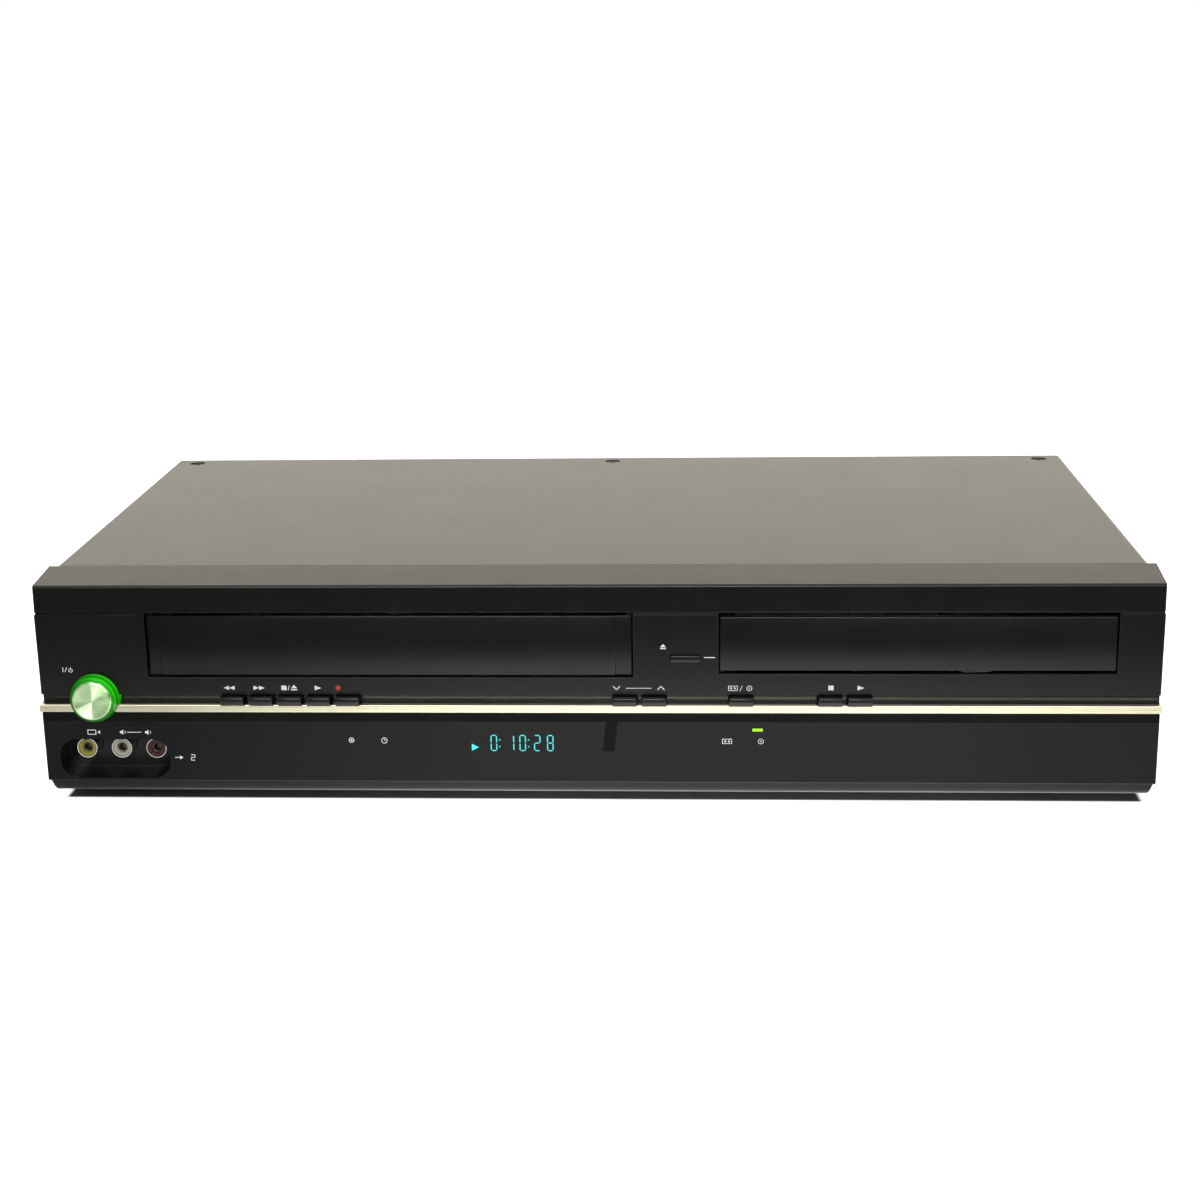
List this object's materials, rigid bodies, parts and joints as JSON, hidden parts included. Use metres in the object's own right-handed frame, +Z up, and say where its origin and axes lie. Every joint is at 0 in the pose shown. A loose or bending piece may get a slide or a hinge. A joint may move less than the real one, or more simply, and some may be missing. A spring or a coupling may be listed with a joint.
{
  "type": "disc and cassette player",
  "caption": "Low black disc and cassette player with a spring door over the cassette slot, a sliding disc tray, push keys and a lit power button.",
  "frame": {"origin": "on the table, under the middle of the player's bounding box", "axes": "+X to the right as seen from the front, +Y to the back, +Z up; the front face looks along -Y"},
  "size_m": [0.44, 0.2524, 0.095],
  "materials": {
    "cover_black": "satin black paint with fine texture",
    "panel_black": "satin moulded plastic",
    "window_smoke": "polished dark acrylic",
    "strip_champagne": "brushed champagne",
    "button_black": "satin",
    "power_alloy": "spun",
    "ring_green": "translucent, lit green",
    "zinc_steel": "zinc plated sheet",
    "dark_screw": "black oxide",
    "rubber_black": "matte",
    "board_green": "solder mask",
    "board_tan": "bare paper board",
    "display_glass": "dark glass",
    "socket_mixed": "moulded body with coloured collars",
    "spring_steel": "drawn wire",
    "cast_alloy": "turned",
    "steel_bright": "turned",
    "gear_natural": "natural acetal",
    "mech_grey": "moulded",
    "belt_rubber": "matte",
    "brass": "turned",
    "nickel": "nickel plated"
  },
  "bodies": {
    "case": {"top_cover": "cover_black", "case_screws": "dark_screw", "chassis_base": "zinc_steel", "rear_panel": "cover_black", "feet": "rubber_black", "front_panel": "panel_black", "window_lens": "window_smoke", "trim_strip": "strip_champagne", "power_ring": "ring_green", "button_board": "board_green", "display_module": "display_glass", "front_av_jacks": "socket_mixed", "door_spring": "spring_steel", "deck_chassis": "zinc_steel", "drum_base": "cast_alloy", "tape_heads": "nickel", "loading_motor": "steel_bright", "loader_frame": "button_black", "loader_belt": "belt_rubber", "tray_motor": "steel_bright", "clamper_bridge": "zinc_steel", "main_board": "board_green", "power_board": "board_tan", "rear_jacks": "socket_mixed", "rf_connectors": "nickel", "cord_gland": "rubber_black"},
    "rewind_button": {"rewind_button": "button_black"},
    "fast_forward_button": {"fast_forward_button": "button_black"},
    "stop_eject_button": {"stop_eject_button": "button_black"},
    "play_button": {"play_button": "button_black"},
    "record_button": {"record_button": "button_black"},
    "tracking_down_button": {"tracking_down_button": "button_black"},
    "tracking_up_button": {"tracking_up_button": "button_black"},
    "source_button": {"source_button": "button_black"},
    "disc_stop_button": {"disc_stop_button": "button_black"},
    "disc_play_button": {"disc_play_button": "button_black"},
    "open_close_button": {"open_close_button": "button_black"},
    "power_button": {"power_button": "power_alloy"},
    "cassette_door": {"cassette_door": "panel_black"},
    "cassette_holder": {"cassette_holder": "zinc_steel"},
    "head_drum": {"head_drum": "cast_alloy"},
    "capstan": {"capstan": "steel_bright"},
    "pinch_arm": {"pinch_arm": "zinc_steel"},
    "pinch_roller": {"pinch_roller": "belt_rubber"},
    "supply_reel": {"supply_reel": "mech_grey"},
    "takeup_reel": {"takeup_reel": "mech_grey"},
    "cam_gear": {"cam_gear": "gear_natural"},
    "supply_guide": {"supply_guide": "cast_alloy"},
    "takeup_guide": {"takeup_guide": "cast_alloy"},
    "loading_worm": {"loading_worm": "gear_natural"},
    "disc_tray": {"disc_tray": "button_black", "tray_door": "panel_black"},
    "drive_gear": {"drive_gear": "gear_natural"},
    "pulley_gear": {"pulley_gear": "gear_natural"},
    "motor_pulley": {"motor_pulley": "brass"},
    "traverse": {"traverse_deck": "mech_grey", "guide_rods": "steel_bright"},
    "turntable": {"turntable": "mech_grey"},
    "pickup_sled": {"pickup_sled": "cast_alloy"},
    "clamper": {"clamper": "gear_natural"}
  },
  "joints": [
    {"name": "rewind_press", "type": "slide", "parent": "case", "child": "rewind_button", "axis": [0, 1, 0], "range_m": [0, 0.0005], "stiffness_N_per_m": 1500, "springref_m": -0.0003},
    {"name": "fast_forward_press", "type": "slide", "parent": "case", "child": "fast_forward_button", "axis": [0, 1, 0], "range_m": [0, 0.0005], "stiffness_N_per_m": 1500, "springref_m": -0.0003},
    {"name": "stop_eject_press", "type": "slide", "parent": "case", "child": "stop_eject_button", "axis": [0, 1, 0], "range_m": [0, 0.0005], "stiffness_N_per_m": 1500, "springref_m": -0.0003},
    {"name": "play_press", "type": "slide", "parent": "case", "child": "play_button", "axis": [0, 1, 0], "range_m": [0, 0.0005], "stiffness_N_per_m": 1500, "springref_m": -0.0003},
    {"name": "record_press", "type": "slide", "parent": "case", "child": "record_button", "axis": [0, 1, 0], "range_m": [0, 0.0005], "stiffness_N_per_m": 1500, "springref_m": -0.0003},
    {"name": "tracking_down_press", "type": "slide", "parent": "case", "child": "tracking_down_button", "axis": [0, 1, 0], "range_m": [0, 0.0005], "stiffness_N_per_m": 1500, "springref_m": -0.0003},
    {"name": "tracking_up_press", "type": "slide", "parent": "case", "child": "tracking_up_button", "axis": [0, 1, 0], "range_m": [0, 0.0005], "stiffness_N_per_m": 1500, "springref_m": -0.0003},
    {"name": "source_press", "type": "slide", "parent": "case", "child": "source_button", "axis": [0, 1, 0], "range_m": [0, 0.0005], "stiffness_N_per_m": 1500, "springref_m": -0.0003},
    {"name": "disc_stop_press", "type": "slide", "parent": "case", "child": "disc_stop_button", "axis": [0, 1, 0], "range_m": [0, 0.0005], "stiffness_N_per_m": 1500, "springref_m": -0.0003},
    {"name": "disc_play_press", "type": "slide", "parent": "case", "child": "disc_play_button", "axis": [0, 1, 0], "range_m": [0, 0.0005], "stiffness_N_per_m": 1500, "springref_m": -0.0003},
    {"name": "open_close_press", "type": "slide", "parent": "case", "child": "open_close_button", "axis": [0, 1, 0], "range_m": [0, 0.0005], "stiffness_N_per_m": 1500, "springref_m": -0.0003},
    {"name": "power_press", "type": "slide", "parent": "case", "child": "power_button", "axis": [0, 1, 0], "range_m": [0, 0.001], "stiffness_N_per_m": 900, "springref_m": -0.0005},
    {"name": "cassette_door_swing", "type": "hinge", "parent": "case", "child": "cassette_door", "pos_m": [-0.079, -0.1155, 0.0878], "axis": [1, 0, 0], "range_deg": [0, 90], "stiffness_Nm_per_rad": 0.006, "springref_deg": -22.92},
    {"name": "cassette_holder_slide", "type": "slide", "parent": "case", "child": "cassette_holder", "axis": [0, 1, 0], "range_m": [0, 0.058]},
    {"name": "head_drum_spin", "type": "hinge", "parent": "case", "child": "head_drum", "pos_m": [-0.079, 0.058, 0.036], "axis": [0, -0.1038, 0.9946], "continuous": true},
    {"name": "capstan_spin", "type": "hinge", "parent": "case", "child": "capstan", "pos_m": [-0.0259, 0.012, 0.0395], "axis": [0, 0, 1], "continuous": true},
    {"name": "pinch_arm_swing", "type": "hinge", "parent": "case", "child": "pinch_arm", "pos_m": [-0.005, 0.029, 0.0335], "axis": [0, 0, 1], "range_deg": [0, 27.5]},
    {"name": "pinch_roller_spin", "type": "hinge", "parent": "pinch_arm", "child": "pinch_roller", "pos_m": [-0.02599, 0.02973, 0.0435], "axis": [0, 0, 1], "continuous": true},
    {"name": "supply_reel_spin", "type": "hinge", "parent": "case", "child": "supply_reel", "pos_m": [-0.123, -0.033, 0.0345], "axis": [0, 0, 1], "continuous": true},
    {"name": "takeup_reel_spin", "type": "hinge", "parent": "case", "child": "takeup_reel", "pos_m": [-0.035, -0.033, 0.0345], "axis": [0, 0, 1], "continuous": true},
    {"name": "cam_gear_turn", "type": "hinge", "parent": "case", "child": "cam_gear", "pos_m": [0, 0.065, 0.0395], "axis": [0, 0, 1], "range_deg": [0, 270]},
    {"name": "supply_guide_slide", "type": "slide", "parent": "case", "child": "supply_guide", "axis": [-0.3285, 0.9445, 0], "range_m": [0, 0.0486]},
    {"name": "takeup_guide_slide", "type": "slide", "parent": "case", "child": "takeup_guide", "axis": [0.3285, 0.9445, 0], "range_m": [0, 0.0486]},
    {"name": "loading_worm_spin", "type": "hinge", "parent": "case", "child": "loading_worm", "pos_m": [0, 0.0833, 0.0407], "axis": [1, 0, 0], "range_deg": [0, 7600]},
    {"name": "disc_tray_slide", "type": "slide", "parent": "case", "child": "disc_tray", "axis": [0, -1, 0], "range_m": [0, 0.12]},
    {"name": "drive_gear_spin", "type": "hinge", "parent": "case", "child": "drive_gear", "pos_m": [0.1699, -0.097, 0.0595], "axis": [0, 0, 1], "range_deg": [0, 700]},
    {"name": "pulley_gear_spin", "type": "hinge", "parent": "case", "child": "pulley_gear", "pos_m": [0.1489, -0.097, 0.0595], "axis": [0, 0, 1], "range_deg": [-1750, 0]},
    {"name": "motor_pulley_spin", "type": "hinge", "parent": "case", "child": "motor_pulley", "pos_m": [0.1149, -0.097, 0.0575], "axis": [0, 0, 1], "range_deg": [-4900, 0]},
    {"name": "traverse_lift", "type": "hinge", "parent": "case", "child": "traverse", "pos_m": [0.1249, 0.029, 0.05075], "axis": [-1, 0, 0], "range_deg": [0, 5]},
    {"name": "turntable_spin", "type": "hinge", "parent": "traverse", "child": "turntable", "pos_m": [0.1249, -0.049, 0.0595], "axis": [0, 0, 1], "continuous": true},
    {"name": "pickup_slide", "type": "slide", "parent": "traverse", "child": "pickup_sled", "axis": [0, 1, 0], "range_m": [0, 0.028]},
    {"name": "clamper_spin", "type": "hinge", "parent": "case", "child": "clamper", "pos_m": [0.1249, -0.049, 0.0745], "axis": [0, 0, 1], "continuous": true}
  ],
  "couplings": [
    {"joint": "supply_guide_slide", "follows": "cam_gear_turn", "m_per_rad": 0.0103},
    {"joint": "takeup_guide_slide", "follows": "cam_gear_turn", "m_per_rad": 0.0103},
    {"joint": "loading_worm_spin", "follows": "cam_gear_turn", "ratio": 28},
    {"joint": "drive_gear_spin", "follows": "disc_tray_slide", "rad_per_m": 100},
    {"joint": "pulley_gear_spin", "follows": "disc_tray_slide", "rad_per_m": -250},
    {"joint": "motor_pulley_spin", "follows": "disc_tray_slide", "rad_per_m": -701.39},
    {"joint": "clamper_spin", "follows": "turntable_spin", "ratio": 1}
  ]
}
